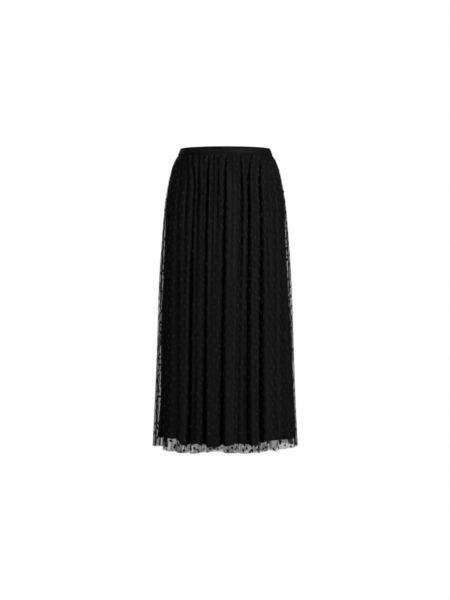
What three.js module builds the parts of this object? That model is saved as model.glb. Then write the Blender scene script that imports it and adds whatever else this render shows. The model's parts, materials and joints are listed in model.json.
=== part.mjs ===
// A gathered midi skirt, in the hollow shape that it has when it is worn. A sheer tulle skirt hangs over
// a shorter opaque lining, and both are gathered into a narrow smooth waistband. Front and back meet at
// two side seams. Lengths are in millimetres and angles in degrees. X runs across the skirt, its front
// faces -Y, and Z is up. The origin is the middle of the waist opening, half way up the waistband, where
// a waist holds the skirt.
import * as THREE from "three";

// Driving dimensions
const BAND_HEIGHT = 18;
const BAND_WALL = 3.5;
const BAND_EDGE = 0.9; // the roll of its two edges
const BAND_CROWN = 0.4; // how far its face swells out at mid height
const BAND_STEPS = 72;
const TULLE_WALL = 1;
const LINING_WALL = 1;
const SEAM_GAP = 0.3;
const TULLE_HEM = -795;
const LINING_HEM = -773;
const WAIST_DIP = 2; // the waist sits this much lower at the front, and higher at the back
const DIP_ENDS = -130; // the height where that dip has died out
const HEM_RISE = 0.2; // the hem's rise in a valley, as a share of the valley's depth
const VALLEY_GAP = 3.5; // from the tulle's valleys in to the lining's
const SIDE_REACH = 6; // the power that keeps the lining's side stand-off near the sides
const OPENING = 2.5; // the power with which the gathers open out into folds under the waistband
const BLEND_POWER = 3; // valleys that run into each other meet with this power
const COLUMNS_PER_FOLD = 4;
const PROBE = 0.05; // the step that finds the cloth's slope, in degrees and in mm

const BAND_TOP = BAND_HEIGHT / 2;
const CLOTH_TOP = -BAND_HEIGHT / 2 - SEAM_GAP;

// The crests of the tulle at each height: half its width, and its depth to the front and to the back of
// the origin. left, right and middle are how far inside them the crests of the lining lie.
const SECTIONS = [
  { z: 9, side: 120.5, front: 93, back: 97, left: 3.2, right: 3.2, middle: 3.2 },
  { z: -9, side: 127.5, front: 98, back: 103, left: 3.2, right: 3.2, middle: 3.2 },
  { z: -22, side: 135, front: 102, back: 109, left: 3.6, right: 3.4, middle: 3.4 },
  { z: -43, side: 143.5, front: 107, back: 116, left: 4, right: 3.8, middle: 3.8 },
  { z: -86, side: 154, front: 114, back: 127, left: 5, right: 4.4, middle: 4.5 },
  { z: -130, side: 161.5, front: 120, back: 134, left: 5.5, right: 5, middle: 5 },
  { z: -172, side: 166, front: 125, back: 139, left: 6, right: 7, middle: 5.5 },
  { z: -237, side: 171, front: 131, back: 144, left: 6.5, right: 10, middle: 6 },
  { z: -345, side: 177.5, front: 139, back: 150, left: 8, right: 11.5, middle: 6.5 },
  { z: -500, side: 183, front: 148, back: 157, left: 12, right: 8, middle: 7 },
  { z: -670, side: 189.5, front: 158, back: 165, left: 17, right: 5.5, middle: 7 },
  { z: -795, side: 195, front: 166, back: 172, left: 12, right: 5, middle: 7 },
];

// How far a valley of ordinary breadth reaches to each side of its lowest line, in degrees.
const BREADTHS = [
  { z: -9, reach: 4 },
  { z: -130, reach: 5 },
  { z: -400, reach: 6.5 },
  { z: -795, reach: 7.5 },
];

// The heights at which the fold tables give their valleys' depths.
const FOLD_LEVELS = { gather: -9, high: -130, middle: -400, low: -795 };

// The valleys of the front, from the wearer's right side seam to the left. waist, hip and hem place
// a valley in degrees from the middle of the front. gather, high, middle and low are its depths, and
// broad multiplies its reach.
const FRONT_FOLDS = [
  { waist: -81, hip: -81, hem: -80, gather: 2.2, high: 3, middle: 7, low: 7, broad: 1 },
  { waist: -71, hip: -66, hem: -63, gather: 2.5, high: 10, middle: 16, low: 20, broad: 1 },
  { waist: -61, hip: -52, hem: -44, gather: 2.4, high: 3, middle: 9, low: 11, broad: 1.4 },
  { waist: -53, hip: -40, hem: -37, gather: 2.6, high: 11, middle: 2, low: 0, broad: 1 },
  { waist: -45, hip: -31.6, hem: -31.5, gather: 2.4, high: 12, middle: 20, low: 26, broad: 1 },
  { waist: -35, hip: -27, hem: -27, gather: 2.8, high: 12, middle: 4, low: 6, broad: 1.2 },
  { waist: -28, hip: -22, hem: -21.5, gather: 2.2, high: 3, middle: 0, low: 0, broad: 1 },
  { waist: -20, hip: -17.6, hem: -17.6, gather: 2.8, high: 16, middle: 18, low: 24, broad: 0.75 },
  { waist: -14, hip: -12, hem: -14, gather: 2.6, high: 9, middle: 4, low: 0, broad: 1 },
  { waist: -9, hip: -8, hem: -10, gather: 2.4, high: 8, middle: 0, low: 0, broad: 1 },
  { waist: 1, hip: -0.5, hem: -3.1, gather: 2.6, high: 14, middle: 18, low: 28, broad: 0.75 },
  { waist: 6.5, hip: 6, hem: 2, gather: 2.6, high: 3, middle: 0, low: 0, broad: 0.8 },
  { waist: 12, hip: 11, hem: 6.5, gather: 2.6, high: 3, middle: 0, low: 0, broad: 0.8 },
  { waist: 18, hip: 16, hem: 9.5, gather: 2.8, high: 12, middle: 8, low: 9, broad: 0.8 },
  { waist: 25, hip: 19.5, hem: 14.5, gather: 2.2, high: 2, middle: 0, low: 0, broad: 0.8 },
  { waist: 32, hip: 23, hem: 18, gather: 2.8, high: 16, middle: 18, low: 22, broad: 0.9 },
  { waist: 39, hip: 29, hem: 26.5, gather: 2.4, high: 4, middle: 3, low: 3.5, broad: 0.8 },
  { waist: 47, hip: 36, hem: 30.8, gather: 2.8, high: 16, middle: 22, low: 30, broad: 0.85 },
  { waist: 58, hip: 45, hem: 39, gather: 2.4, high: 7, middle: 1, low: 0, broad: 1 },
  { waist: 67, hip: 57, hem: 47, gather: 2.2, high: 3, middle: 4, low: 5, broad: 1 },
  { waist: 76, hip: 70, hem: 60, gather: 2.2, high: 2, middle: 4, low: 4, broad: 1 },
  { waist: 86, hip: 81, hem: 77, gather: 2.2, high: 3, middle: 5, low: 5, broad: 1 },
];

// The valleys of the back, from the wearer's left side seam to the right, in degrees from the middle of
// the back.
const BACK_FOLDS = [
  { waist: -83, hip: -84, hem: -86, gather: 2.4, high: 4, middle: 5, low: 6, broad: 1 },
  { waist: -74, hip: -76, hem: -74, gather: 2.6, high: 9, middle: 12, low: 15, broad: 1 },
  { waist: -66, hip: -66, hem: -66, gather: 2.4, high: 6, middle: 1, low: 0, broad: 1 },
  { waist: -57, hip: -55, hem: -57, gather: 2.6, high: 11, middle: 14, low: 19, broad: 1 },
  { waist: -50, hip: -46, hem: -49, gather: 2.4, high: 7, middle: 2, low: 0, broad: 1 },
  { waist: -41, hip: -38, hem: -41, gather: 2.8, high: 12, middle: 15, low: 20, broad: 1 },
  { waist: -33, hip: -31, hem: -34, gather: 2.4, high: 5, middle: 1, low: 0, broad: 1 },
  { waist: -26, hip: -25, hem: -27, gather: 2.6, high: 12, middle: 15, low: 21, broad: 1 },
  { waist: -18, hip: -17, hem: -19, gather: 2.6, high: 8, middle: 2, low: 0, broad: 1 },
  { waist: -11, hip: -10, hem: -12, gather: 2.8, high: 13, middle: 14, low: 17, broad: 1.2 },
  { waist: -4, hip: -4, hem: -4, gather: 2.2, high: 5, middle: 2, low: 0, broad: 1 },
  { waist: 4, hip: 4, hem: 4, gather: 2.8, high: 11, middle: 15, low: 22, broad: 1 },
  { waist: 11, hip: 10, hem: 12, gather: 2.4, high: 6, middle: 1, low: 0, broad: 1 },
  { waist: 19, hip: 17, hem: 21, gather: 2.6, high: 12, middle: 14, low: 18, broad: 1.3 },
  { waist: 26, hip: 24, hem: 27, gather: 2.4, high: 5, middle: 2, low: 0, broad: 1 },
  { waist: 34, hip: 31, hem: 34, gather: 2.8, high: 12, middle: 16, low: 23, broad: 1 },
  { waist: 42, hip: 38, hem: 41, gather: 2.4, high: 7, middle: 3, low: 0, broad: 1 },
  { waist: 50, hip: 46, hem: 48, gather: 2.6, high: 12, middle: 13, low: 17, broad: 1 },
  { waist: 58, hip: 55, hem: 56, gather: 2.4, high: 5, middle: 1, low: 0, broad: 1 },
  { waist: 66, hip: 65, hem: 64, gather: 2.6, high: 10, middle: 15, low: 20, broad: 1 },
  { waist: 75, hip: 75, hem: 72, gather: 2.4, high: 6, middle: 7, low: 10, broad: 1 },
  { waist: 84, hip: 84, hem: 84, gather: 2.4, high: 4, middle: 3, low: 3, broad: 1 },
];

// How much lower the hem of the tulle and of the lining hangs, at angles from the middle of the front.
const HEM_LINES = [
  { angle: -180, tulle: 33, lining: -1 },
  { angle: -171, tulle: 29, lining: -3 },
  { angle: -150, tulle: 34, lining: -4 },
  { angle: -135, tulle: 27, lining: 0 },
  { angle: -125, tulle: 18, lining: 2 },
  { angle: -115, tulle: 6, lining: 1 },
  { angle: -105, tulle: -2, lining: 0 },
  { angle: -85, tulle: -4, lining: -3 },
  { angle: -66, tulle: -8, lining: -8 },
  { angle: -58, tulle: 0, lining: -9 },
  { angle: -46, tulle: 3, lining: -8 },
  { angle: -36, tulle: 4, lining: 7 },
  { angle: -30, tulle: 3, lining: 7 },
  { angle: -24, tulle: 2, lining: 1 },
  { angle: -14, tulle: 0, lining: 9 },
  { angle: -8, tulle: -8, lining: 9 },
  { angle: -4, tulle: -3, lining: 9 },
  { angle: -1, tulle: 1, lining: 6 },
  { angle: 12, tulle: 0, lining: 0 },
  { angle: 18, tulle: 0, lining: 6 },
  { angle: 23, tulle: 1, lining: 5 },
  { angle: 30, tulle: 5, lining: 8 },
  { angle: 36, tulle: -4, lining: -6 },
  { angle: 43, tulle: 0, lining: -6 },
  { angle: 50, tulle: -4, lining: -6 },
  { angle: 60, tulle: -4, lining: -5 },
  { angle: 85, tulle: -4, lining: -3 },
  { angle: 105, tulle: -2, lining: 1 },
  { angle: 120, tulle: -2, lining: 3 },
  { angle: 128, tulle: 4, lining: 2 },
  { angle: 136, tulle: 18, lining: 0 },
  { angle: 150, tulle: 29, lining: -3 },
  { angle: 165, tulle: 35, lining: -2 },
  { angle: 180, tulle: 33, lining: -1 },
];

// The heights of each cloth's rows of points, closer together where the gathers open out.
const TULLE_ROWS = [CLOTH_TOP, -22, -40, -65, -100, -140, -190, -260, -350, -450, -560, -680, TULLE_HEM];
const LINING_ROWS = [CLOTH_TOP, -25, -60, -100, -140, -230, -390, -580, LINING_HEM];

const { sin, cos, abs, floor, max, PI } = Math;
const { lerp, clamp, smoothstep, degToRad, radToDeg, euclideanModulo } = THREE.MathUtils;

// A column of a table at height z, on a smooth curve through its rows, which run downwards.
function read(table, name, z) {
  const last = table.length - 1;
  const height = clamp(z, table[last].z, table[0].z);
  const i = clamp(table.findIndex((row) => row.z <= height) - 1, 0, last - 1);
  const slope = (k) => {
    const a = table[max(k - 1, 0)];
    const b = table[Math.min(k + 1, last)];
    return (b[name] - a[name]) / (b.z - a.z);
  };
  const [from, to] = [table[i], table[i + 1]];
  const step = to.z - from.z;
  const t = (height - from.z) / step;
  const ease = t * t * (3 - 2 * t);
  const bend = t * (1 - t) * step * ((1 - t) * slope(i) - t * slope(i + 1));
  return lerp(from[name], to[name], ease) + bend;
}

// Both panels' valleys in one list round the skirt, in degrees from the middle of the front.
const VALLEYS = [
  ...FRONT_FOLDS,
  ...BACK_FOLDS.map((f) => ({ ...f, waist: f.waist + 180, hip: f.hip + 180, hem: f.hem + 180 })),
];

// How far the gathers have opened out into folds at height z. They open fastest under the waistband.
function opened(z) {
  const down = clamp((FOLD_LEVELS.gather - z) / (FOLD_LEVELS.gather - FOLD_LEVELS.high), 0, 1);
  return 1 - (1 - down) ** OPENING;
}

// The angle of a valley at height z. It swings quickly above the hip and settles towards the hem.
function valleyAngle(valley, z) {
  const on = clamp((FOLD_LEVELS.high - z) / (FOLD_LEVELS.high - FOLD_LEVELS.low), 0, 1);
  return lerp(lerp(valley.waist, valley.hip, opened(z)), valley.hem, on * (2 - on));
}

// The depth of a valley at height z, eased from one level of its table row to the next.
function valleyDepth(valley, z) {
  const names = Object.keys(FOLD_LEVELS);
  const i = clamp(names.findIndex((name) => FOLD_LEVELS[name] <= z) - 1, 0, names.length - 2);
  const t = (z - FOLD_LEVELS[names[i]]) / (FOLD_LEVELS[names[i + 1]] - FOLD_LEVELS[names[i]]);
  return lerp(valley[names[i]], valley[names[i + 1]], i === 0 ? opened(z) : smoothstep(t, 0, 1));
}

// The same angle, counted from -180 up to 180.
function turned(angle) {
  return euclideanModulo(angle + 180, 360) - 180;
}

// How far the folded tulle lies inside its crests, and how deep the valley is that the place belongs to.
function foldAt(angle, z) {
  const reach = read(BREADTHS, "reach", z);
  let total = 0;
  let weighted = 0;
  for (const valley of VALLEYS) {
    const share = abs(turned(angle - valleyAngle(valley, z))) / (reach * valley.broad);
    if (share < 1) {
      const depth = valleyDepth(valley, z);
      const part = (depth * cos((PI / 2) * share) ** 2) ** BLEND_POWER;
      total += part;
      weighted += part * depth;
    }
  }
  return { depth: total ** (1 / BLEND_POWER), valley: total > 0 ? weighted / total : 0 };
}

// How far the lining's crests lie inside the tulle's.
function standOff(angle, z) {
  const across = sin(degToRad(angle));
  const side = read(SECTIONS, across < 0 ? "left" : "right", z);
  return lerp(read(SECTIONS, "middle", z), side, abs(across) ** SIDE_REACH);
}

// A point at an angle and height, moved in from the crests. drop is how much lower the cloth hangs there.
function place(angle, z, inwards, drop) {
  const a = degToRad(angle);
  const side = read(SECTIONS, "side", z);
  const depth = read(SECTIONS, cos(a) > 0 ? "front" : "back", z);
  const out = new THREE.Vector2(sin(a) / side, -cos(a) / depth).normalize();
  const dip = WAIST_DIP * cos(a) * (1 - smoothstep(BAND_TOP - z, 0, BAND_TOP - DIP_ENDS));
  const x = side * sin(a) - out.x * inwards;
  const y = -depth * cos(a) - out.y * inwards;
  return new THREE.Vector3(x, y, z - dip - drop);
}

// How much lower than its even height a cloth hangs at height z, which grows down to its hem. There
// a valley of the given depth lifts it.
function hemDrop(cloth, angle, z, hem, depth) {
  const i = HEM_LINES.findIndex((row) => row.angle > turned(angle));
  const [from, to] = [HEM_LINES[i - 1], HEM_LINES[i]];
  const line = lerp(from[cloth], to[cloth], smoothstep(turned(angle), from.angle, to.angle));
  return (line - HEM_RISE * depth) * (z / hem) ** 3;
}

function tullePoint(angle, z) {
  const drop = hemDrop("tulle", angle, z, TULLE_HEM, foldAt(angle, TULLE_HEM).depth);
  return place(angle, z, foldAt(angle, z).depth, drop);
}

// How far the lining lies inside the tulle's crests. It follows the tulle's folds, closer to the tulle
// in the valleys than at the crests.
function liningInwards(angle, z) {
  const off = standOff(angle, z);
  const { depth, valley } = foldAt(angle, z);
  return off + depth * (1 - (off - VALLEY_GAP) / max(valley, off));
}

function liningPoint(angle, z) {
  const drop = hemDrop("lining", angle, z, LINING_HEM, liningInwards(angle, LINING_HEM));
  return place(angle, z, liningInwards(angle, z), drop);
}

// The way that a surface faces at an angle and height, from two short steps along it.
function facing(surface, angle, z) {
  const here = surface(angle, z);
  const across = surface(angle + PROBE, z).sub(here);
  const up = surface(angle, z + PROBE).sub(here);
  return across.cross(up).normalize();
}

// The angles of a panel's columns at height z. They follow its valleys, from the crest before its first
// valley to the crest after its last, and stop half a seam gap short of both.
function columnAngles(first, count, z) {
  const valley = (i) => {
    const around = 360 * floor(i / VALLEYS.length);
    return valleyAngle(VALLEYS[euclideanModulo(i, VALLEYS.length)], z) + around;
  };
  const half = COLUMNS_PER_FOLD / 2;
  const angles = [];
  for (let k = half; k <= count * COLUMNS_PER_FOLD + half; k++) {
    const i = first - 1 + floor(k / COLUMNS_PER_FOLD);
    angles.push(lerp(valley(i), valley(i + 1), (k % COLUMNS_PER_FOLD) / COLUMNS_PER_FOLD));
  }
  const back = radToDeg(SEAM_GAP / 2 / read(SECTIONS, "front", z));
  angles[0] += back;
  angles[angles.length - 1] -= back;
  return angles;
}

// A closed wall from two grids of points with the same rows and columns, the first one facing out. Their
// rows run downwards.
function wall(outer, inner) {
  const [rows, columns] = [outer.length, outer[0].length];
  const points = [...outer.flat(), ...inner.flat()];
  const under = rows * columns;
  const index = [];
  const quad = (a, b, c, d) => index.push(a, b, c, a, c, d);
  for (let r = 0; r + 1 < rows; r++) {
    for (let c = 0; c + 1 < columns; c++) {
      const [a, b] = [r * columns + c, (r + 1) * columns + c];
      quad(a, b, b + 1, a + 1);
      quad(under + a, under + a + 1, under + b + 1, under + b);
    }
  }
  for (let c = 0; c + 1 < columns; c++) {
    const bottom = (rows - 1) * columns + c;
    quad(c, c + 1, under + c + 1, under + c);
    quad(bottom, under + bottom, under + bottom + 1, bottom + 1);
  }
  for (let r = 0; r + 1 < rows; r++) {
    const left = r * columns;
    const right = left + columns - 1;
    quad(left, under + left, under + left + columns, left + columns);
    quad(right, right + columns, under + right + columns, under + right);
  }
  return solid(points, index);
}

function solid(points, index) {
  const geometry = new THREE.BufferGeometry().setFromPoints(points);
  geometry.setIndex(index);
  geometry.computeVertexNormals();
  return geometry;
}

// One gathered panel: its surface sampled at the columns and rows, with a wall behind it.
function panel(surface, first, count, rows, thickness) {
  const outer = [];
  const inner = [];
  for (const z of rows) {
    const angles = columnAngles(first, count, z);
    outer.push(angles.map((angle) => surface(angle, z)));
    inner.push(outer.at(-1).map((point, c) => {
      return point.clone().addScaledVector(facing(surface, angles[c], z), -thickness);
    }));
  }
  return wall(outer, inner);
}

// The waistband: a rounded strip section carried all round the waist.
function waistband() {
  const [top, edge] = [BAND_TOP, BAND_EDGE];
  const section = [
    { z: -top, inwards: edge },
    { z: edge - top, inwards: 0 },
    { z: 0, inwards: -BAND_CROWN },
    { z: top - edge, inwards: 0 },
    { z: top, inwards: edge },
    { z: top, inwards: BAND_WALL - edge },
    { z: top - edge, inwards: BAND_WALL },
    { z: edge - top, inwards: BAND_WALL },
    { z: -top, inwards: BAND_WALL - edge },
  ];
  const points = [];
  const index = [];
  for (let k = 0; k < BAND_STEPS; k++) {
    const angle = (360 * k) / BAND_STEPS;
    const next = (k + 1) % BAND_STEPS;
    section.forEach(({ z, inwards }, i) => {
      const j = (i + 1) % section.length;
      const [a, b] = [k * section.length + i, next * section.length + i];
      const [c, d] = [next * section.length + j, k * section.length + j];
      points.push(place(angle, z, inwards, 0));
      index.push(a, b, c, a, c, d);
    });
  }
  return solid(points, index);
}

const tulle = { color: 0x1b1b1c, roughness: 0.95, metalness: 0, transparent: true, opacity: 0.45 };
const satin = { color: 0x101011, roughness: 0.55, metalness: 0 };
const lining = { color: 0x0c0c0d, roughness: 0.7, metalness: 0 };

function piece(name, geometry, finish) {
  const mesh = new THREE.Mesh(geometry, new THREE.MeshStandardMaterial(finish));
  mesh.name = name;
  return mesh;
}

const skirt = new THREE.Group();
const PANELS = [
  { side: "front", first: 0, count: FRONT_FOLDS.length },
  { side: "back", first: FRONT_FOLDS.length, count: BACK_FOLDS.length },
];
skirt.add(piece("waistband", waistband(), satin));
for (const { side, first, count } of PANELS) {
  skirt.add(piece(`tulle_${side}`, panel(tullePoint, first, count, TULLE_ROWS, TULLE_WALL), tulle));
  skirt.add(piece(`lining_${side}`, panel(liningPoint, first, count, LINING_ROWS, LINING_WALL), lining));
}

export default skirt;
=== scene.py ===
"""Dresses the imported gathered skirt: a sheer dotted tulle over an opaque lining, on a smooth waistband.

The cloths are fine shells on the forms of their solids, from the same tables of sections and folds.
Sizes in the tables are in millimetres and degrees, and everything that is built is in metres.
"""

import json
import math

import bpy
import numpy as np
from bpy.props import FloatProperty, FloatVectorProperty, IntProperty, PointerProperty
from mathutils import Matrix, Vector

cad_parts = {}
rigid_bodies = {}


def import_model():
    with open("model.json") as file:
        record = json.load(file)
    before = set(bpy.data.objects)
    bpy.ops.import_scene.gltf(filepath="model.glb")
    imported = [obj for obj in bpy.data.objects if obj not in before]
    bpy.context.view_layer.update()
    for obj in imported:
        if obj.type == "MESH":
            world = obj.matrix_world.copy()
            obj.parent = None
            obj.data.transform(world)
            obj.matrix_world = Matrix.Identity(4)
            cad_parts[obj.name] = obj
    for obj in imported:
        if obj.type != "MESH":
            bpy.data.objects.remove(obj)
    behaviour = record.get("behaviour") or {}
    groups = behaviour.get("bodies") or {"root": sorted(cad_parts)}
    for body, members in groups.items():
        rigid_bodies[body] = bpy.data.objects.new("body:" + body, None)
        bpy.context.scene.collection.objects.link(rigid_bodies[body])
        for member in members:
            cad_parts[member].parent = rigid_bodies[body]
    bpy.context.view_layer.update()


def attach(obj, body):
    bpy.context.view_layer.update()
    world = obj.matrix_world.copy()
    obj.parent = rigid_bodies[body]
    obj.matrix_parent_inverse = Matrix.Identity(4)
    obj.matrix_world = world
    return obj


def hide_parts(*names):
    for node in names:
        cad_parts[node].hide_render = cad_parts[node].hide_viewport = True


bl_info = {
    "name": "Gathered tulle skirt",
    "version": (1, 0, 0),
    "blender": (4, 5, 0),
    "location": "3D View > Sidebar > Skirt",
    "description": "Builds the cloths, dots and sewing of a gathered tulle skirt over its packed solids",
    "category": "Add Mesh",
}

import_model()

MM = 0.001
CLOTH_TOP = -9.3
TULLE_HEM = -795
LINING_HEM = -773
WAIST_DIP = 2  # the waist sits this much lower at the front, and higher at the back
DIP_ENDS = -130
HEM_RISE = 0.2  # the hem's rise in a valley, as a share of the valley's depth
VALLEY_GAP = 3.5  # from the tulle's valleys in to the lining's
SIDE_REACH = 6  # the power that keeps the lining's side stand-off near the sides
OPENING = 2.5  # the power with which the gathers open out into folds under the waistband
BLEND_POWER = 3  # valleys that run into each other meet with this power
SHARPNESS = 7  # the power of the valleys' cosine profile, which is 2 in the solids
TULLE_STEPS = (86, 500)  # rows and columns of a tulle panel
LINING_STEPS = (70, 300)
LINING_LENGTH = 0.785
LINING_THICK = 0.25
NET_THREAD = -0.22  # where the threads of the net begin, which leaves a little under half of it open
LINING_OUT = 1.2  # the lining's sheet lies this much outside its solid
TUCKED = -6.5  # the height that the cloths' upper edges reach inside the waistband
GRIP = (8.8, 12)  # the waistband lets go of the cloths between these depths below the waist
TULLE_HELD = 1.5  # how far inside the tulle's crests the waistband holds each cloth
LINING_HELD = 2.1
HEM_WAVES = 19  # small waves along a panel's hem, and their height
HEM_WAVE = 0.9
STITCH_THREAD = 0.35
SEAM_LAP = 0.8  # how far each panel reaches past the middle of a side seam
SEAM_UNDER = 0.35  # the back panels pass under the front ones by this much

# The crests of the tulle at each height: half its width, and its depth to the front and to the back.
# left, right and middle are how far inside them the crests of the lining lie.
SECTION_COLUMNS = ("z", "side", "front", "back", "left", "right", "middle")
SECTIONS = (
    (9, 120.5, 93, 97, 3.2, 3.2, 3.2),
    (-9, 127.5, 98, 103, 3.2, 3.2, 3.2),
    (-22, 135, 102, 109, 3.6, 3.4, 3.4),
    (-43, 143.5, 107, 116, 4, 3.8, 3.8),
    (-86, 154, 114, 127, 5, 4.4, 4.5),
    (-130, 161.5, 120, 134, 5.5, 5, 5),
    (-172, 166, 125, 139, 7, 7, 5.5),
    (-237, 171, 131, 144, 9.5, 10, 6),
    (-345, 177.5, 139, 150, 12, 11.5, 6.5),
    (-500, 183, 148, 157, 11, 8, 7),
    (-670, 189.5, 158, 165, 16.5, 5.5, 7),
    (-795, 195, 166, 172, 12, 5, 7),
)

# How far a valley of ordinary breadth reaches to each side of its lowest line, in degrees.
BREADTH_COLUMNS = ("z", "reach")
BREADTHS = ((-9, 4), (-130, 5), (-400, 6.5), (-795, 7.5))

# The heights at which the fold tables give their valleys' depths.
FOLD_LEVELS = (-9, -130, -400, -795)

# The valleys of each panel: their angle from its middle at the waist, hip and hem, their depth at the
# four fold levels, and how broad they are.
FOLD_COLUMNS = ("waist", "hip", "hem", "gather", "high", "middle", "low", "broad")
FRONT_FOLDS = (
    (-81, -81, -80, 2.2, 3, 7, 7, 1),
    (-71, -66, -63, 2.5, 10, 16, 20, 1),
    (-61, -52, -44, 2.4, 3, 9, 11, 1.4),
    (-53, -40, -37, 2.6, 11, 2, 0, 1),
    (-45, -31.6, -31.5, 2.4, 12, 20, 26, 1),
    (-35, -27, -27, 2.8, 12, 4, 6, 1.2),
    (-28, -22, -21.5, 2.2, 3, 0, 0, 1),
    (-20, -17.6, -17.6, 2.8, 16, 18, 24, 0.75),
    (-14, -12, -14, 2.6, 9, 4, 0, 1),
    (-9, -8, -10, 2.4, 8, 0, 0, 1),
    (1, -0.5, -3.1, 2.6, 14, 18, 28, 0.75),
    (6.5, 6, 2, 2.6, 3, 0, 0, 0.8),
    (12, 11, 6.5, 2.6, 3, 0, 0, 0.8),
    (18, 16, 9.5, 2.8, 12, 8, 9, 0.8),
    (25, 19.5, 14.5, 2.2, 2, 0, 0, 0.8),
    (32, 23, 18, 2.8, 16, 18, 22, 0.9),
    (39, 29, 26.5, 2.4, 4, 3, 3.5, 0.8),
    (47, 36, 30.8, 2.8, 16, 22, 30, 0.85),
    (58, 45, 39, 2.4, 7, 1, 0, 1),
    (67, 57, 47, 2.2, 3, 4, 5, 1),
    (76, 70, 60, 2.2, 2, 4, 4, 1),
    (86, 81, 77, 2.2, 3, 5, 5, 1),
)
BACK_FOLDS = (
    (-83, -84, -86, 2.4, 4, 5, 6, 1),
    (-74, -76, -74, 2.6, 9, 12, 15, 1),
    (-66, -66, -66, 2.4, 6, 1, 0, 1),
    (-57, -55, -57, 2.6, 11, 14, 19, 1),
    (-50, -46, -49, 2.4, 7, 2, 0, 1),
    (-41, -38, -41, 2.8, 12, 15, 20, 1),
    (-33, -31, -34, 2.4, 5, 1, 0, 1),
    (-26, -25, -27, 2.6, 12, 15, 21, 1),
    (-18, -17, -19, 2.6, 8, 2, 0, 1),
    (-11, -10, -12, 2.8, 13, 14, 17, 1.2),
    (-4, -4, -4, 2.2, 5, 2, 0, 1),
    (4, 4, 4, 2.8, 11, 15, 22, 1),
    (11, 10, 12, 2.4, 6, 1, 0, 1),
    (19, 17, 21, 2.6, 12, 14, 18, 1.3),
    (26, 24, 27, 2.4, 5, 2, 0, 1),
    (34, 31, 34, 2.8, 12, 16, 23, 1),
    (42, 38, 41, 2.4, 7, 3, 0, 1),
    (50, 46, 48, 2.6, 12, 13, 17, 1),
    (58, 55, 56, 2.4, 5, 1, 0, 1),
    (66, 65, 64, 2.6, 10, 15, 20, 1),
    (75, 75, 72, 2.4, 6, 7, 10, 1),
    (84, 84, 84, 2.4, 4, 3, 3, 1),
)

# How much lower the hems hang at angles from the middle of the front.
HEM_COLUMNS = ("angle", "tulle", "lining")
HEM_LINES = (
    (-180, 33, -1),
    (-171, 29, -3),
    (-150, 34, -4),
    (-135, 27, 0),
    (-125, 18, 2),
    (-115, 6, 1),
    (-105, -2, 0),
    (-85, -4, -3),
    (-66, -8, -8),
    (-58, 0, -9),
    (-46, 3, -8),
    (-36, 4, 7),
    (-30, 3, 7),
    (-24, 2, 1),
    (-14, 0, 9),
    (-8, -8, 9),
    (-4, -3, 9),
    (-1, 1, 6),
    (12, 0, 0),
    (18, 0, 6),
    (23, 1, 5),
    (30, 5, 8),
    (36, -4, -6),
    (43, 0, -6),
    (50, -4, -6),
    (60, -4, -5),
    (85, -4, -3),
    (105, -2, 1),
    (120, -2, 3),
    (128, 4, 2),
    (136, 18, 0),
    (150, 29, -3),
    (165, 35, -2),
    (180, 33, -1),
)


# ---------------------------------------------------------------- the skirt's form


def columns(names, rows):
    """A table as a dict of one array for each named column."""
    return dict(zip(names, np.array(rows, float).T))


SECTION = columns(SECTION_COLUMNS, SECTIONS)
BREADTH = columns(BREADTH_COLUMNS, BREADTHS)
FOLDS = columns(FOLD_COLUMNS, FRONT_FOLDS + BACK_FOLDS)
for _name in ("waist", "hip", "hem"):
    FOLDS[_name][len(FRONT_FOLDS) :] += 180
HEMS = columns(HEM_COLUMNS, HEM_LINES)
PANELS = {"front": (0, len(FRONT_FOLDS)), "back": (len(FRONT_FOLDS), len(BACK_FOLDS))}


def read(table, name, z):
    """A column of a table at heights z, on a smooth curve through its rows, which run downwards."""
    heights, values = table["z"], table[name]
    last = len(heights) - 1
    z = np.clip(np.asarray(z, float), heights[-1], heights[0])
    before = np.maximum(np.arange(last + 1) - 1, 0)
    after = np.minimum(np.arange(last + 1) + 1, last)
    slopes = (values[after] - values[before]) / (heights[after] - heights[before])
    i = np.clip(np.searchsorted(-heights, -z) - 1, 0, last - 1)
    step = heights[i + 1] - heights[i]
    t = (z - heights[i]) / step
    ease = t * t * (3 - 2 * t)
    bend = t * (1 - t) * step * ((1 - t) * slopes[i] - t * slopes[i + 1])
    return values[i] + (values[i + 1] - values[i]) * ease + bend


def smooth(x, low, high):
    """0 below low and 1 above high, with a soft step between them."""
    t = np.clip((x - low) / (high - low), 0, 1)
    return t * t * (3 - 2 * t)


def opened(z):
    """How far the gathers have opened out into folds at heights z. They open fastest at the waist."""
    down = np.clip((z - FOLD_LEVELS[0]) / (FOLD_LEVELS[1] - FOLD_LEVELS[0]), 0, 1)
    return 1 - (1 - down) ** OPENING


def valley_angle(valley, z):
    """The angle of a valley at heights z, with z on the last axes."""
    down = opened(z)
    on = np.clip((FOLD_LEVELS[1] - z) / (FOLD_LEVELS[1] - FOLD_LEVELS[3]), 0, 1)
    waist, hip, hem = FOLDS["waist"][valley], FOLDS["hip"][valley], FOLDS["hem"][valley]
    high = waist + (hip - waist) * down
    return high + (hem - high) * on * (2 - on)


def valley_depth(valley, z):
    """The depth of a valley at heights z, eased from one level of its table row to the next."""
    shares = [opened(z)]
    shares += [smooth(-z, -upper, -lower) for upper, lower in zip(FOLD_LEVELS[1:], FOLD_LEVELS[2:])]
    depth = np.full(np.shape(z), FOLDS["gather"][valley])
    for name, share in zip(("high", "middle", "low"), shares):
        depth = depth + (FOLDS[name][valley] - depth) * share
    return depth


def turned(angle):
    """The same angle, counted from -180 up to 180."""
    return (angle + 180) % 360 - 180


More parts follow.
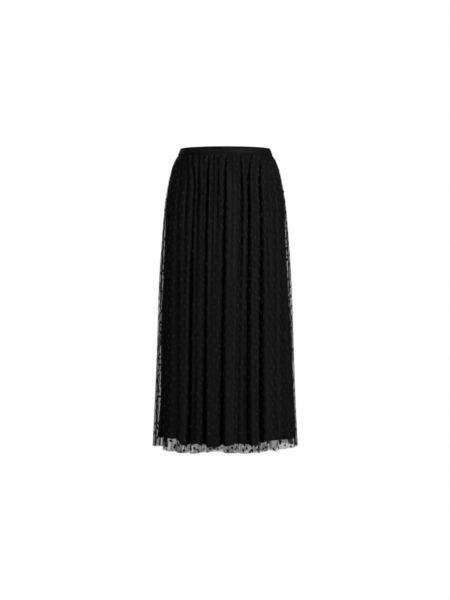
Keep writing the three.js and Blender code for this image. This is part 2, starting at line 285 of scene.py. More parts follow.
def fold_at(angle, z):
    """How far the folded tulle lies inside its crests, and how deep the valley there is."""
    reach = read(BREADTH, "reach", z)
    total = np.zeros(np.broadcast(angle, z).shape)
    weighted = total.copy()
    for valley in range(len(FOLDS["waist"])):
        share = np.abs(turned(angle - valley_angle(valley, z))) / (reach * FOLDS["broad"][valley])
        depth = valley_depth(valley, z)
        form = np.cos(np.pi / 2 * np.minimum(share, 1)) ** SHARPNESS
        part = np.where(share < 1, depth * form, 0) ** BLEND_POWER
        total += part
        weighted += part * depth
    valley = np.divide(weighted, total, out=np.zeros_like(total), where=total > 0)
    return total ** (1 / BLEND_POWER), valley


def stand_off(angle, z):
    """How far the lining's crests lie inside the tulle's."""
    across = np.sin(np.radians(angle))
    side = np.where(across < 0, read(SECTION, "left", z), read(SECTION, "right", z))
    middle = read(SECTION, "middle", z)
    return middle + (side - middle) * np.abs(across) ** SIDE_REACH


def place(angle, z, inwards, drop=0.0):
    """Points in metres at angles and heights, moved in from the crests and down by drop."""
    a = np.radians(angle)
    side = read(SECTION, "side", z)
    depth = np.where(np.cos(a) > 0, read(SECTION, "front", z), read(SECTION, "back", z))
    x, y = np.sin(a) / side, -np.cos(a) / depth
    size = np.hypot(x, y)
    dip = WAIST_DIP * np.cos(a) * (1 - smooth(9 - z, 0, 9 - DIP_ENDS))
    return MM * np.stack(
        (side * np.sin(a) - x / size * inwards, -depth * np.cos(a) - y / size * inwards, z - dip - drop), -1
    )


def hem_drop(cloth, angle, z, hem, depth):
    """How much lower than its even height a cloth hangs at heights z, which grows down to its hem."""
    away = turned(angle)
    i = np.clip(np.searchsorted(HEMS["angle"], away, side="right"), 1, len(HEM_LINES) - 1)
    t = smooth(away, HEMS["angle"][i - 1], HEMS["angle"][i])
    line = HEMS[cloth][i - 1] + (HEMS[cloth][i] - HEMS[cloth][i - 1]) * t
    return (line - HEM_RISE * depth) * (z / hem) ** 3


def wander(angle, z):
    """The slow unevenness that hanging cloth has between its named folds, the same for both cloths."""
    a = np.radians(angle)
    grown = smooth(-z, 40, 420)
    slow = np.sin(5 * a + z / 137 + 0.4) * np.sin(11 * a - z / 211 + 1.9)
    quick = np.sin(23 * a + 1.3 * np.sin(z / 163) + 0.7) * np.sin(z / 97 + 3 * a)
    return (0.9 * slow + 0.55 * quick) * grown


def creases(side, k, z, count, depth):
    """How far the pinched creases of the gathering lie inside the folds, at fold coordinates k along the
    last axis and heights z. Each starts under the waistband and dies out at a length of its own."""
    first, folds = PANELS[side]
    chance = np.random.default_rng(11 + first)
    total = np.zeros(np.broadcast(k, z).shape)
    started = smooth(-z, 8, 13)
    for number in range(count):
        middle = first - 0.5 + folds * (number + 0.5 + chance.uniform(-0.33, 0.33)) / count
        deep = depth * chance.uniform(0.45, 1.1)
        length = 30 + 130 * chance.random() ** 2
        breadth = chance.uniform(0.08, 0.13) * (1 + 0.9 * smooth(-z, 10, 120))
        drift = chance.normal(0, 0.16) * smooth(-z, 10, 10 + length)
        share = (k - middle - drift) / breadth
        lasting = started * (1 - smooth(-z, 12, 12 + length))
        total = np.maximum(total, deep * lasting * np.exp(-share * share))
    return total


def tulle_inwards(angle, z):
    """How far the tulle lies inside its crests."""
    return fold_at(angle, z)[0] + wander(angle, z)


def lining_inwards(angle, z):
    """The lining follows the tulle's folds, closer to the tulle in the valleys than at the crests."""
    off = stand_off(angle, z)
    depth, valley = fold_at(angle, z)
    return off - LINING_OUT + depth * (1 - (off - VALLEY_GAP) / np.maximum(valley, off)) + wander(angle, z)


def lining_points(angle, z, inwards):
    """Points of the lining, with the drop of its hem."""
    drop = hem_drop("lining", angle, z, LINING_HEM, lining_inwards(angle, LINING_HEM + 0 * z))
    return place(angle, z, inwards, drop)


def fold_angle(k, z):
    """The angle at fold coordinate k, which is a valley's number in its middle, and heights z."""
    number = np.floor(k).astype(int)
    count = len(FOLDS["waist"])
    here = valley_angle(number % count, z) + 360 * (number // count)
    after = valley_angle((number + 1) % count, z) + 360 * ((number + 1) // count)
    return here + (after - here) * (k - number)


def even_folds(side, inwards, hem, steps):
    """Fold coordinates of a panel's columns, evenly along its hem, and the hem's length in metres."""
    first, count = PANELS[side]
    k = np.linspace(first - 0.5, first + count - 0.5, 3001)
    z = np.full_like(k, hem)
    angle = fold_angle(k, z)
    points = place(angle, z, inwards(angle, z))
    run = np.concatenate(([0], np.cumsum(np.linalg.norm(np.diff(points, axis=0), axis=1))))
    return np.interp(np.linspace(0, run[-1], steps), run, k), run[-1]


def cloth_rows(hem, count):
    """Heights of a cloth's rows, closer together under the waistband, with its upper edge inside that."""
    down = np.linspace(0, 1, count)
    return np.append(TUCKED, CLOTH_TOP + (hem - CLOTH_TOP) * (0.33 * down**2.2 + 0.67 * down))


def panel_grid(side, k, z):
    """Fold coordinates, angles and heights of a panel's points, and how far they pass under the next panel.
    The columns are at fold coordinates k, with one more at each end for the lap of the seam."""
    k = np.pad(k, 1, mode="edge")[None, :]
    angle = fold_angle(k, z[:, None])
    lap = np.degrees(SEAM_LAP / read(SECTION, "front", z))
    angle[:, 0] -= lap
    angle[:, -1] += lap
    under = np.zeros(k.shape)
    under[0, [0, 1, -2, -1]] = SEAM_UNDER if side == "back" else 0
    return k, angle, z[:, None] + 0 * angle, under


def panel_across(run, steps):
    """Where a panel's columns lie on its flat cloth in metres, with the laps of its seams."""
    lap = SEAM_LAP * MM
    return np.concatenate(([0], lap + np.linspace(0, run, steps), [run + 2 * lap]))


def sewn(inwards, z, held):
    """Draws a cloth in to where the waistband holds it, held inside the crests."""
    return held + (inwards - held) * smooth(-z, *GRIP)


# ---------------------------------------------------------------- meshes and materials


def srgb(code):
    """The linear RGBA of an sRGB hex colour."""
    parts = [int(code[i : i + 2], 16) / 255 for i in (1, 3, 5)]
    return [p / 12.92 if p <= 0.04045 else ((p + 0.055) / 1.055) ** 2.4 for p in parts] + [1.0]


def add_node(tree, kind, inputs=None, **settings):
    """Adds a node with its settings, and sets or links its inputs by name or number."""
    node = tree.nodes.new(kind)
    for name, value in settings.items():
        setattr(node, name, value)
    for name, value in (inputs or {}).items():
        if isinstance(value, bpy.types.Node):
            value = next(s for s in value.outputs if s.enabled)
        if isinstance(value, bpy.types.NodeSocket):
            tree.links.new(value, node.inputs[name])
        else:
            node.inputs[name].default_value = value
    return node


def new_material(name):
    """An empty node material and its tree."""
    material = bpy.data.materials.new(name)
    material.use_nodes = True
    material.node_tree.nodes.clear()
    return material, material.node_tree


def grid_mesh(name, points, uv=None, closed=False):
    """A mesh from a grid of points with its first row on top, seen from outside. closed joins the last
    column to the first."""
    rows, cols = points.shape[:2]
    steps = cols if closed else cols - 1
    r, c = np.meshgrid(np.arange(rows - 1), np.arange(steps), indexing="ij")
    after = (c + 1) % cols
    upper, lower = r * cols, (r + 1) * cols
    quads = np.stack((upper + c, lower + c, lower + after, upper + after), -1).reshape(-1, 4)
    mesh = bpy.data.meshes.new(name)
    mesh.vertices.add(rows * cols)
    mesh.vertices.foreach_set("co", points.reshape(-1).astype(np.float32))
    mesh.loops.add(quads.size)
    mesh.loops.foreach_set("vertex_index", quads.reshape(-1).astype(np.int32))
    mesh.polygons.add(len(quads))
    mesh.polygons.foreach_set("loop_start", np.arange(0, quads.size, 4, dtype=np.int32))
    mesh.polygons.foreach_set("use_smooth", np.ones(len(quads), bool))
    if uv is not None:
        layer = mesh.uv_layers.new(name="cloth")
        flat = uv.reshape(-1, 2)[quads.reshape(-1)]
        layer.data.foreach_set("uv", flat.reshape(-1).astype(np.float32))
    mesh.update(calc_edges=True)
    mesh.validate()
    piece = bpy.data.objects.new(name, mesh)
    bpy.context.scene.collection.objects.link(piece)
    return piece


def finish_piece(piece, slot, *nodes):
    """Gives a finished piece its body and hides the nodes that it stands for. Its slot is not used."""
    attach(piece, "root")
    if nodes:
        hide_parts(*nodes)


def apply_modifiers(piece):
    """Turns what a piece's modifiers make into its plain mesh."""
    graph = bpy.context.evaluated_depsgraph_get()
    made = bpy.data.meshes.new_from_object(piece.evaluated_get(graph))
    made.name = piece.name
    piece.modifiers.clear()
    piece.data = made


def run_tree(piece, tree, inputs):
    """Runs a Geometry Nodes tree on a piece with named inputs, and leaves its result as a plain mesh."""
    modifier = piece.modifiers.new(tree.name, "NODES")
    modifier.node_group = tree
    for item in tree.interface.items_tree:
        if item.item_type == "SOCKET" and item.in_out == "INPUT" and item.name in inputs:
            modifier[item.identifier] = inputs[item.name]
    apply_modifiers(piece)


def new_tree(name, inputs):
    """A Geometry Nodes tree with inputs of the given names and kinds, and its input node."""
    tree = bpy.data.node_groups.new(name, "GeometryNodeTree")
    for label, kind in {"Geometry": "Geometry", **inputs}.items():
        tree.interface.new_socket(label, in_out="INPUT", socket_type=f"NodeSocket{kind}")
    tree.interface.new_socket("Geometry", in_out="OUTPUT", socket_type="NodeSocketGeometry")
    return tree, add_node(tree, "NodeGroupInput")


def end_tree(tree, instances, material):
    """Makes a tree's instances a smooth real mesh of one material, and gives that out."""
    real = add_node(tree, "GeometryNodeRealizeInstances", {"Geometry": instances})
    soft = add_node(tree, "GeometryNodeSetShadeSmooth", {"Geometry": real})
    dyed = add_node(tree, "GeometryNodeSetMaterial", {"Geometry": soft, "Material": material})
    add_node(tree, "NodeGroupOutput", {"Geometry": dyed})


def cloth_material(name, colour, roughness, gloss, sheen):
    """A Principled shader in a new material, for the fabrics to build on. Their gloss is below that of a
    solid face, because light is lost between the yarns."""
    material, tree = new_material(name)
    shader = add_node(
        tree,
        "ShaderNodeBsdfPrincipled",
        {
            "Base Color": tuple(colour),
            "Roughness": roughness,
            "Specular IOR Level": gloss,
            "Sheen Weight": sheen,
            "Sheen Roughness": 0.5,
        },
    )
    add_node(tree, "ShaderNodeOutputMaterial", {"Surface": shader})
    return material, tree, shader


def cloth_position(tree, scale):
    """The cloth's own position, from its UV map in metres, multiplied to a pattern's scale."""
    uv = add_node(tree, "ShaderNodeUVMap", uv_map="cloth")
    return add_node(tree, "ShaderNodeVectorMath", {0: uv, "Scale": scale}, operation="SCALE")


def tulle_material(colour, hole):
    """Nylon bobbinet tulle: fine dull black threads round six-sided holes, dyed through. It veils what is
    behind it and shows only a dry glint. Real holes are 1.2 mm. They are drawn a little larger so that
    the net shows in a near view, with the same share of thread."""
    material, tree, shader = cloth_material("black nylon tulle", colour, 0.6, 0.1, 0.0)
    place_on = cloth_position(tree, 1.0)
    wave = hole * math.sqrt(3) / 2
    total = None
    for turn in (0, 120, 240):
        a = math.radians(turn + 90)
        along = (2 * math.pi / wave * math.cos(a), 2 * math.pi / wave * math.sin(a), 0)
        phase = add_node(tree, "ShaderNodeVectorMath", {0: place_on, 1: along}, operation="DOT_PRODUCT")
        cosine = add_node(tree, "ShaderNodeMath", {0: phase.outputs["Value"]}, operation="COSINE")
        if total is not None:
            cosine = add_node(tree, "ShaderNodeMath", {0: total, 1: cosine}, operation="ADD")
        total = cosine
    # The three waves add up to 3 in a hole's middle, -1 on a thread and -1.5 where three threads meet.
    net = add_node(
        tree,
        "ShaderNodeMapRange",
        {"Value": total, "From Min": NET_THREAD + 0.25, "From Max": NET_THREAD - 0.25},
        clamp=True,
    )
    tree.links.new(net.outputs["Result"], shader.inputs["Alpha"])
    return material


def lining_material(colour):
    """Polyester lining taffeta: a plain weave of bright filament yarns, dyed black. It is opaque, with a
    soft low sheen along its folds. Its 0.25 mm weave is drawn at 0.8 mm, and even so hardly shows."""
    material, tree, shader = cloth_material("black polyester lining", colour, 0.55, 0.1, 0.0)
    weave = cloth_position(tree, 2 * math.pi / (0.8 * MM))
    parts = add_node(tree, "ShaderNodeSeparateXYZ", {0: weave})
    warp = add_node(tree, "ShaderNodeMath", {0: parts.outputs["X"]}, operation="SINE")
    weft = add_node(tree, "ShaderNodeMath", {0: parts.outputs["Y"]}, operation="SINE")
    cross = add_node(tree, "ShaderNodeMath", {0: warp, 1: weft}, operation="MULTIPLY")
    crumple = add_node(
        tree, "ShaderNodeTexNoise", {"Vector": cloth_position(tree, 1.0), "Scale": 45.0, "Detail": 3.0}
    )
    fine = add_node(tree, "ShaderNodeBump", {"Height": cross, "Strength": 0.25, "Distance": 0.05 * MM})
    soft = add_node(
        tree,
        "ShaderNodeBump",
        {"Height": crumple.outputs[0], "Strength": 0.4, "Distance": 2.5 * MM, "Normal": fine},
    )
    tree.links.new(soft.outputs[0], shader.inputs["Normal"])
    return material


def band_material(colour):
    """Satin-faced waistband elastic: tight bright yarns over covered rubber. Its face is smooth with a
    broad soft highlight, and fine ribs run round it."""
    material, tree, shader = cloth_material("black satin elastic", colour, 0.5, 0.055, 0.0)
    where = add_node(tree, "ShaderNodeTexCoord")
    parts = add_node(tree, "ShaderNodeSeparateXYZ", {0: where.outputs["Object"]})
    rib = 2 * math.pi / (1.1 * MM)
    turns = add_node(tree, "ShaderNodeMath", {0: parts.outputs["Z"], 1: rib}, operation="MULTIPLY")
    ribs = add_node(tree, "ShaderNodeMath", {0: turns}, operation="SINE")
    grain = add_node(
        tree, "ShaderNodeTexNoise", {"Vector": where.outputs["Object"], "Scale": 220.0, "Detail": 2.0}
    )
    fine = add_node(tree, "ShaderNodeBump", {"Height": ribs, "Strength": 0.3, "Distance": 0.06 * MM})
    soft = add_node(
        tree,
        "ShaderNodeBump",
        {"Height": grain.outputs[0], "Strength": 0.2, "Distance": 0.4 * MM, "Normal": fine},
    )
    tree.links.new(soft.outputs[0], shader.inputs["Normal"])
    return material


def flock_material(colour):
    """Flocked viscose dots: short upright fibres glued to the net. They are dense and dull, and the
    fibres' ends catch more light than the threads do."""
    material, tree, shader = cloth_material("black flock", colour, 0.9, 0.1, 0.1)
    where = add_node(tree, "ShaderNodeTexCoord")
    fibres = add_node(
        tree, "ShaderNodeTexNoise", {"Vector": where.outputs["Object"], "Scale": 1500.0, "Detail": 2.0}
    )
    nap = {"Height": fibres.outputs[0], "Strength": 0.6, "Distance": 0.15 * MM}
    fur = add_node(tree, "ShaderNodeBump", nap)
    tree.links.new(fur.outputs[0], shader.inputs["Normal"])
    return material


def thread_material(colour):
    """Spun polyester sewing thread, two plies twisted: matt, with a faint slanting ply."""
    material, tree, shader = cloth_material("black sewing thread", colour, 0.6, 0.2, 0.05)
    where = add_node(tree, "ShaderNodeTexCoord")
    ply = add_node(
        tree,
        "ShaderNodeTexWave",
        {"Vector": where.outputs["Object"], "Scale": 400.0, "Distortion": 0.5},
        bands_direction="DIAGONAL",
    )
    relief = {"Height": ply.outputs[1], "Strength": 0.4, "Distance": 0.05 * MM}
    twist = add_node(tree, "ShaderNodeBump", relief)
    tree.links.new(twist.outputs[0], shader.inputs["Normal"])
    return material


# ---------------------------------------------------------------- settings


def measure(name, default, description):
    """A length setting, with its default in millimetres."""
    return FloatProperty(name=name, description=description, default=default * MM, unit="LENGTH")


class SkirtSizes(bpy.types.PropertyGroup):
    """Sizes that a user would change."""

    hole: measure("Net hole", 1.8, "Width of a hole in the tulle")
    gather: measure("Gather depth", 4.6, "Depth of the pinched creases under the waistband")
    gathers: IntProperty(name="Gathers", description="Creases along each panel", default=40, min=10, max=90)
    dot_length: measure("Dot length", 7.8, "Long side of a flocked dot")
    dot_width: measure("Dot width", 6.4, "Short side of a flocked dot")
    dot_height: measure("Dot height", 0.5, "Height of the flock")
    dot_across: measure("Dots across", 24.5, "Distance between the dots of a row")
    dot_down: measure("Dot rows", 14.3, "Distance between the rows of dots")
    hem: measure("Lining hem", 18, "Height of the lining's hem")
    stitch: measure("Stitch length", 2.6, "Length of a stitch")
    seed: IntProperty(name="Seed", description="Seed of the dots' small unevenness", default=7)


def colour(name, code, description):
    """A colour setting with an sRGB default."""
    default = srgb(code)
    return FloatVectorProperty(name=name, description=description, subtype="COLOR", size=4, default=default)


class SkirtColours(bpy.types.PropertyGroup):
    """Base colours of the fabrics. All are near black, as the photographed skirt is."""

    tulle: colour("Tulle", "#151516", "Colour of the net's threads")
    dots: colour("Dots", "#131314", "Colour of the flock")
    lining: colour("Lining", "#101011", "Colour of the lining")
    waistband: colour("Waistband", "#131314", "Colour of the elastic")
    thread: colour("Thread", "#1a1a1b", "Colour of the sewing thread")


# ---------------------------------------------------------------- pieces


class SKIRT_OT_waistband(bpy.types.Operator):
    """Builds the smooth elastic waistband"""

    bl_idname = "skirt.waistband"
    bl_label = "Waistband"

    def execute(self, context):
        # The section runs from the top of the outer face, down it, and up the inner face. Each row is its
        # height and how far inside the outer face it lies.
        outer = [(9 - 18 * t, -0.45 * math.sin(math.pi * t) ** 0.6) for t in np.linspace(0.03, 0.97, 17)]
        lower = [(-9, 0.35), (-9.25, 0.95), (-9.2, 1.7), (-8.9, 2.4)]
        inner = [(z, 3.1 + 0.15 * math.cos(z)) for z in np.linspace(-7.9, 7.9, 13)]
        upper = [(8.7, 2.6), (9.05, 1.9), (9.15, 1.2), (9.0, 0.5)]
        section = np.array(outer + lower + inner + upper + outer[:1])
        angle = np.linspace(0, 360, 361)[:-1]
        z, inwards = section[:, :1], section[:, 1:]
        # The gathers pucker the lower edge a little.
        a = np.radians(angle)[None, :]
        pucker = 0.28 * smooth(-z, -1, 9) * np.sin(37 * a + 1.7 * np.sin(5 * a)) * (inwards < 1)
        points = place(angle[None, :] + 0 * z, z + 0 * angle, inwards + pucker)
        piece = grid_mesh("waistband_elastic", points, closed=True)
        piece.data.materials.append(band_material(context.scene.skirt_colours.waistband))
        finish_piece(piece, "waistband", "waistband")
        return {"FINISHED"}


def tulle_surface(side, k, z, sizes):
    """The tulle's points on a grid, with its fine gathers and its lightly waved hem."""
    along = np.pad(np.linspace(0, 1, len(k)), 1, mode="edge")
    k, angle, z, under = panel_grid(side, k, z)
    drop = hem_drop("tulle", angle, z, TULLE_HEM, fold_at(angle, TULLE_HEM + 0 * z)[0])
    pinched = creases(side, k, z, sizes.gathers, sizes.gather / MM)
    wave = HEM_WAVE * np.sin(2 * np.pi * (HEM_WAVES * along + 0.6 * np.sin(2 * np.pi * 3 * along)))
    inwards = tulle_inwards(angle, z) + pinched + wave * smooth(-z, 330, 790)
    return place(angle, z, sewn(inwards, z, TULLE_HELD) + under, drop)


class SKIRT_OT_tulle(bpy.types.Operator):
    """Builds the two panels of the sheer overskirt"""

    bl_idname = "skirt.tulle"
    bl_label = "Tulle"

    def execute(self, context):
        sizes = context.scene.skirt_sizes
        material = tulle_material(context.scene.skirt_colours.tulle, sizes.hole)
        z = cloth_rows(TULLE_HEM, TULLE_STEPS[0])
        for side in PANELS:
            k, run = even_folds(side, tulle_inwards, TULLE_HEM, TULLE_STEPS[1])
            flat = np.meshgrid(panel_across(run, len(k)), (z - TULLE_HEM) * MM)
            piece = grid_mesh(f"tulle_{side}_panel", tulle_surface(side, k, z, sizes), np.stack(flat, -1))
            piece.data.materials.append(material)
            finish_piece(piece, "tulle", f"tulle_{side}")
        return {"FINISHED"}


class SKIRT_OT_dots(bpy.types.Operator):
    """Sets the flocked dots on the tulle"""

    bl_idname = "skirt.dots"
    bl_label = "Dots"

    def execute(self, context):
        sizes = context.scene.skirt_sizes
        material = flock_material(context.scene.skirt_colours.dots)
        tree = dot_tree()
        for number, side in enumerate(PANELS):
            panel = bpy.data.objects[f"tulle_{side}_panel"]
            _, run = even_folds(side, tulle_inwards, TULLE_HEM, TULLE_STEPS[1])
            across = panel_across(run, TULLE_STEPS[1])
            spots, facing, along = dot_places(panel, across, sizes, sizes.seed + number)
            mesh = bpy.data.meshes.new(f"dots_{side}")
            mesh.from_pydata(spots.tolist(), [], [])
            for name, values in (("facing", facing), ("along", along)):
                layer = mesh.attributes.new(name, "FLOAT_VECTOR", "POINT")
                layer.data.foreach_set("vector", values.reshape(-1).astype(np.float32))
            piece = bpy.data.objects.new(f"dots_{side}", mesh)
            context.scene.collection.objects.link(piece)
            run_tree(
                piece,
                tree,
                {
                    "Length": sizes.dot_length,
                    "Width": sizes.dot_width,
                    "Height": sizes.dot_height,
                    "Seed": sizes.seed + number,
                    "Material": material,
                },
            )
            finish_piece(piece, "tulle")
        return {"FINISHED"}


def grid_values(values, columns, rows, shape):
    """Values of a grid of points at fractions of its columns and rows."""
    grid = values.reshape(*shape, 3).astype(float)
    c = np.clip(columns.astype(int), 0, shape[1] - 2)
    r = np.clip(rows.astype(int), 0, shape[0] - 2)
    s, t = (columns - c)[:, None], (rows - r)[:, None]
    upper = grid[r, c] * (1 - s) + grid[r, c + 1] * s
    lower = grid[r + 1, c] * (1 - s) + grid[r + 1, c + 1] * s
    return upper * (1 - t) + lower * t, lower - upper


def dot_places(panel, across, sizes, seed):
    """Where the dots lie on a panel, which way the cloth faces there and which way it hangs. They stand in
    staggered rows on the flat cloth, each a little out of line."""
    mesh = panel.data
    co = np.empty(len(mesh.vertices) * 3, np.float32)
    mesh.vertices.foreach_get("co", co)
    normal = np.empty_like(co)
    mesh.vertex_normals.foreach_get("vector", normal)
    heights = (cloth_rows(TULLE_HEM, TULLE_STEPS[0]) - TULLE_HEM) * MM
    pitch, lift = sizes.dot_across, sizes.dot_down
    chance = np.random.default_rng(seed)
    spots = []
    for row in range(-1, int(heights[0] / lift) + 2):
        for step in range(int(across[-1] / pitch) + 2):
            # The cloth doesn't hang quite straight, and the gathering pulls the rows a little up and down.
            sway = 0.14 * math.sin(1.1 * row + 2.3 * step) + chance.normal(0, 0.06)
            u = (step + 0.5 * (row % 2) - 0.25 + sway) * pitch
            pull = 0.25 * math.sin(u / 0.031) + 0.2 * math.sin(u / 0.013 + seed) + chance.normal(0, 0.07)
            v = (row + 0.35 + pull) * lift
            if 0.01 < u < across[-1] - 0.01 and 0.004 < v < heights[1] - 0.006:
                spots.append((u, v))
    u, v = np.array(spots).T
    c = np.interp(u, across, np.arange(len(across)))
    r = np.interp(-v, -heights, np.arange(len(heights)))
    shape = (len(heights), len(across))
    facing = grid_values(normal, c, r, shape)[0]
    facing /= np.linalg.norm(facing, axis=1)[:, None]
    spots, down = grid_values(co, c, r, shape)
    return spots + facing * 0.1 * MM, facing, -down / np.linalg.norm(down, axis=1)[:, None]


def dot_tree():
    """Geometry Nodes: a low lens on each point, turned to face as the cloth does and slanted a little."""
    sizes = {"Length": "Float", "Width": "Float", "Height": "Float"}
    tree, given = new_tree("Flocked dots", {**sizes, "Seed": "Int", "Material": "Material"})
    ball = add_node(tree, "GeometryNodeMeshUVSphere", {"Segments": 10, "Rings": 4, "Radius": 0.5})
    size = add_node(
        tree, "ShaderNodeCombineXYZ", {axis: given.outputs[name] for axis, name in enumerate(sizes)}
    )
    lens = add_node(tree, "GeometryNodeTransform", {"Geometry": ball.outputs["Mesh"], "Scale": size})
    facing, along = (
        add_node(tree, "GeometryNodeInputNamedAttribute", {"Name": name}, data_type="FLOAT_VECTOR")
        for name in ("facing", "along")
    )
    outwards = {"Vector": facing.outputs["Attribute"]}
    up = add_node(tree, "FunctionNodeAlignRotationToVector", outwards, axis="Z")
    aimed = add_node(
        tree,
        "FunctionNodeAlignRotationToVector",
        {"Rotation": up, "Vector": along.outputs["Attribute"]},
        axis="X",
        pivot_axis="Z",
    )
    slant = add_node(
        tree,
        "FunctionNodeRandomValue",
        {"Min": (0, 0, 0.45), "Max": (0, 0, 1.15), "Seed": given.outputs["Seed"]},
        data_type="FLOAT_VECTOR",
    )
    turn = add_node(tree, "FunctionNodeEulerToRotation", {0: slant.outputs["Value"]})
    turned_dot = add_node(
        tree, "FunctionNodeRotateRotation", {"Rotation": aimed, "Rotate By": turn}, rotation_space="LOCAL"
    )
    grown = add_node(
        tree,
        "FunctionNodeRandomValue",
        {2: 0.88, 3: 1.12, "Seed": given.outputs["Seed"]},
        data_type="FLOAT",
    )
    spread = add_node(
        tree,
        "GeometryNodeInstanceOnPoints",
        {
            "Points": given.outputs["Geometry"],
            "Instance": lens,
            "Rotation": turned_dot,
            "Scale": grown.outputs[1],
        },
    )
    end_tree(tree, spread, given.outputs["Material"])
    return tree


class SKIRT_OT_lining(bpy.types.Operator):
    """Builds the two panels of the opaque lining with their turned hem"""

    bl_idname = "skirt.lining"
    bl_label = "Lining"

    def execute(self, context):
        sizes = context.scene.skirt_sizes
        material = lining_material(context.scene.skirt_colours.lining)
        z = cloth_rows(LINING_HEM, LINING_STEPS[0])
        turn = sizes.hem / MM
        # The hem rolls under at the lower edge and its allowance goes up inside.
        rolled = [(LINING_HEM - 0.5, 0.25), (LINING_HEM - 0.45, 0.75), (LINING_HEM + 0.4, 1.05)]
        rolled += [(LINING_HEM + turn * t, 1.15) for t in (0.25, 0.5, 0.75, 0.95, 1.0)]
        heights = np.concatenate((z, [row[0] for row in rolled]))
        inside = np.concatenate((0 * z, [row[1] for row in rolled]))[:, None]
        below = np.concatenate((z - LINING_HEM, [LINING_HEM - 1 - row[0] for row in rolled]))
        for side in PANELS:
            k, run = even_folds(side, lining_inwards, LINING_HEM, LINING_STEPS[1])
            across = panel_across(run, len(k))
            k, angle, rows, under = panel_grid(side, k, heights)
            pinched = 0.8 * creases(side, k, rows, sizes.gathers, sizes.gather / MM)
            inwards = sewn(lining_inwards(angle, rows) + pinched, rows, LINING_HELD) + under + inside
            flat = np.meshgrid(across, below * MM + sizes.hem + 0.002)
            points = lining_points(angle, rows, inwards)
            piece = grid_mesh(f"lining_{side}_panel", points, np.stack(flat, -1))
            thick = piece.modifiers.new("thickness", "SOLIDIFY")
            thick.thickness = LINING_THICK * MM
            thick.offset = -1
            apply_modifiers(piece)
            piece.data.materials.append(material)
            finish_piece(piece, "lining", f"lining_{side}")
            flat = (round(across[-1], 2), LINING_LENGTH)
        return {"FINISHED"}


class SKIRT_OT_stitches(bpy.types.Operator):
    """Sews the waistband and the lining's hem"""

    bl_idname = "skirt.stitches"
    bl_label = "Stitches"

    def execute(self, context):
        sizes = context.scene.skirt_sizes
        material = thread_material(context.scene.skirt_colours.thread)
        tree = stitch_tree()
        angle = np.linspace(0, 360, 721)
        lines = {"waist_stitches": [place(angle, np.full_like(angle, -7.2), np.full_like(angle, -0.45))]}
        seams = []
        for side in PANELS:
            k, _ = even_folds(side, lining_inwards, LINING_HEM, 900)
            z = np.full_like(k, LINING_HEM + sizes.hem / MM - 1.5)
            away = fold_angle(k, z)
            seams.append(lining_points(away, z, lining_inwards(away, z) - 0.12))
        lines["hem_stitches"] = seams
        for name, paths in lines.items():
            points, edges = [], []
            for path in paths:
                start = len(points)
                points += path.tolist()
                edges += [(start + i, start + i + 1) for i in range(len(path) - 1)]
            mesh = bpy.data.meshes.new(name)
            mesh.from_pydata(points, edges, [])
            piece = bpy.data.objects.new(name, mesh)
            context.scene.collection.objects.link(piece)
            run_tree(piece, tree, {"Stitch": sizes.stitch, "Thread": STITCH_THREAD * MM, "Material": material})
            finish_piece(piece, "waistband" if name == "waist_stitches" else "lining")
        return {"FINISHED"}


def stitch_tree():
    """Geometry Nodes: a row of short thread lengths along the edges of a mesh."""
    inputs = {"Stitch": "Float", "Thread": "Float", "Material": "Material"}
    tree, given = new_tree("Row of stitches", inputs)
    line = add_node(tree, "GeometryNodeMeshToCurve", {"Mesh": given.outputs["Geometry"]})
    even = add_node(
        tree, "GeometryNodeCurveToPoints", {"Curve": line, "Length": given.outputs["Stitch"]}, mode="LENGTH"
    )
    length = add_node(tree, "ShaderNodeMath", {0: given.outputs["Stitch"], 1: 0.78}, operation="MULTIPLY")
    rod = add_node(tree, "GeometryNodeMeshUVSphere", {"Segments": 6, "Rings": 4, "Radius": 0.5})
    size = add_node(
        tree, "ShaderNodeCombineXYZ", {0: given.outputs["Thread"], 1: given.outputs["Thread"], 2: length}
    )
    stitch = add_node(tree, "GeometryNodeTransform", {"Geometry": rod.outputs["Mesh"], "Scale": size})
    aim = add_node(tree, "FunctionNodeAlignRotationToVector", {"Vector": even.outputs["Tangent"]}, axis="Z")
    row = add_node(
        tree,
        "GeometryNodeInstanceOnPoints",
        {"Points": even.outputs["Points"], "Instance": stitch, "Rotation": aim},
    )
    end_tree(tree, row, given.outputs["Material"])
    return tree


# ---------------------------------------------------------------- stage


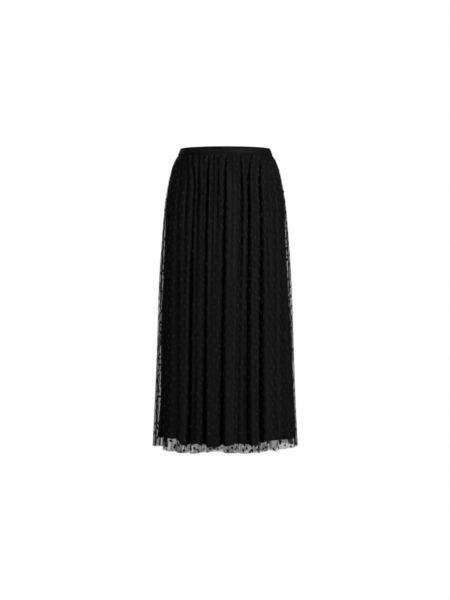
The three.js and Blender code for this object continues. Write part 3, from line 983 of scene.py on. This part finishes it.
class SKIRT_OT_stage(bpy.types.Operator):
    """Sets the camera, the white surroundings, the floor and the soft lights"""

    bl_idname = "skirt.stage"
    bl_label = "Stage"

    def execute(self, context):
        scene = context.scene
        scene.view_settings.view_transform = "Standard"
        camera = bpy.data.objects.new("camera", bpy.data.cameras.new("camera"))
        scene.collection.objects.link(camera)
        camera.location = (-0.0008, -4.2, -0.3985)
        camera.rotation_euler = (math.radians(90), 0, 0)
        camera.data.sensor_width = 36
        camera.data.lens = 93.5
        camera.data.dof.use_dof = False
        scene.camera = camera

        world = bpy.data.worlds.new("white room")
        scene.world = world
        world.use_nodes = True
        tree = world.node_tree
        tree.nodes.clear()
        ray = add_node(tree, "ShaderNodeLightPath")
        # The room looks white, and lights the skirt faintly.
        seen = {"Value": ray.outputs["Is Camera Ray"], "To Min": 0.08}
        strength = add_node(tree, "ShaderNodeMapRange", seen)
        white = {"Color": (1, 1, 1, 1), "Strength": strength.outputs["Result"]}
        light = add_node(tree, "ShaderNodeBackground", white)
        add_node(tree, "ShaderNodeOutputWorld", {"Surface": light})

        floor_mesh = bpy.data.meshes.new("floor")
        ring = [(9 * math.cos(a), 9 * math.sin(a), -1.02) for a in np.linspace(0, 2 * math.pi, 97)[:-1]]
        floor_mesh.from_pydata(ring, [], [tuple(range(96))])
        floor = bpy.data.objects.new("floor", floor_mesh)
        scene.collection.objects.link(floor)
        paper, tree = new_material("white paper")
        glow = add_node(tree, "ShaderNodeEmission", {"Color": (1, 1, 1, 1), "Strength": 1.0})
        add_node(tree, "ShaderNodeOutputMaterial", {"Surface": glow})
        floor_mesh.materials.append(paper)
        floor.visible_diffuse = False
        floor.visible_glossy = False

        # Each light: its place, its width and height, and its power. All face the skirt's middle.
        lights = {
            "key": ((2.1, -2.8, 1.0), (1.2, 1.8), 116),
            "fill": ((-2.6, -2.8, 0.6), (1.6, 2.2), 40),
            "back_left": ((-1.1, 2.9, 2.0), (1.2, 1.2), 70),
            "back_right": ((0.9, 2.9, 2.0), (1.2, 1.2), 30),
        }
        for name, (where, size, power) in lights.items():
            lamp = bpy.data.lights.new(name, "AREA")
            lamp.shape = "RECTANGLE"
            lamp.size, lamp.size_y = size
            lamp.energy = power
            holder = bpy.data.objects.new(name, lamp)
            scene.collection.objects.link(holder)
            holder.location = where
            facing = Vector((0, 0, -0.4)) - Vector(where)
            holder.rotation_euler = facing.to_track_quat("-Z", "Y").to_euler()
        return {"FINISHED"}


class SKIRT_PT_panel(bpy.types.Panel):
    """Lists the skirt's sizes and its building steps"""

    bl_idname = "SKIRT_PT_panel"
    bl_label = "Gathered skirt"
    bl_space_type = "VIEW_3D"
    bl_region_type = "UI"
    bl_category = "Skirt"

    def draw(self, context):
        for group in (context.scene.skirt_sizes, context.scene.skirt_colours):
            for name in group.__annotations__:
                self.layout.prop(group, name)
        for step in STEPS:
            self.layout.operator(step.bl_idname)


STEPS = (
    SKIRT_OT_waistband,
    SKIRT_OT_tulle,
    SKIRT_OT_dots,
    SKIRT_OT_lining,
    SKIRT_OT_stitches,
    SKIRT_OT_stage,
)
CLASSES = (SkirtSizes, SkirtColours, *STEPS, SKIRT_PT_panel)


def register():
    """Adds the skirt's settings, operators and panel to Blender."""
    for item in CLASSES:
        bpy.utils.register_class(item)
    bpy.types.Scene.skirt_sizes = PointerProperty(type=SkirtSizes)
    bpy.types.Scene.skirt_colours = PointerProperty(type=SkirtColours)


def unregister():
    """Takes them out again."""
    del bpy.types.Scene.skirt_colours
    del bpy.types.Scene.skirt_sizes
    for item in reversed(CLASSES):
        bpy.utils.unregister_class(item)


def main():
    """Builds the skirt and its stage."""
    register()
    for step in STEPS:
        group, name = step.bl_idname.split(".")
        getattr(getattr(bpy.ops, group), name)()


if __name__ == "__main__":
    main()
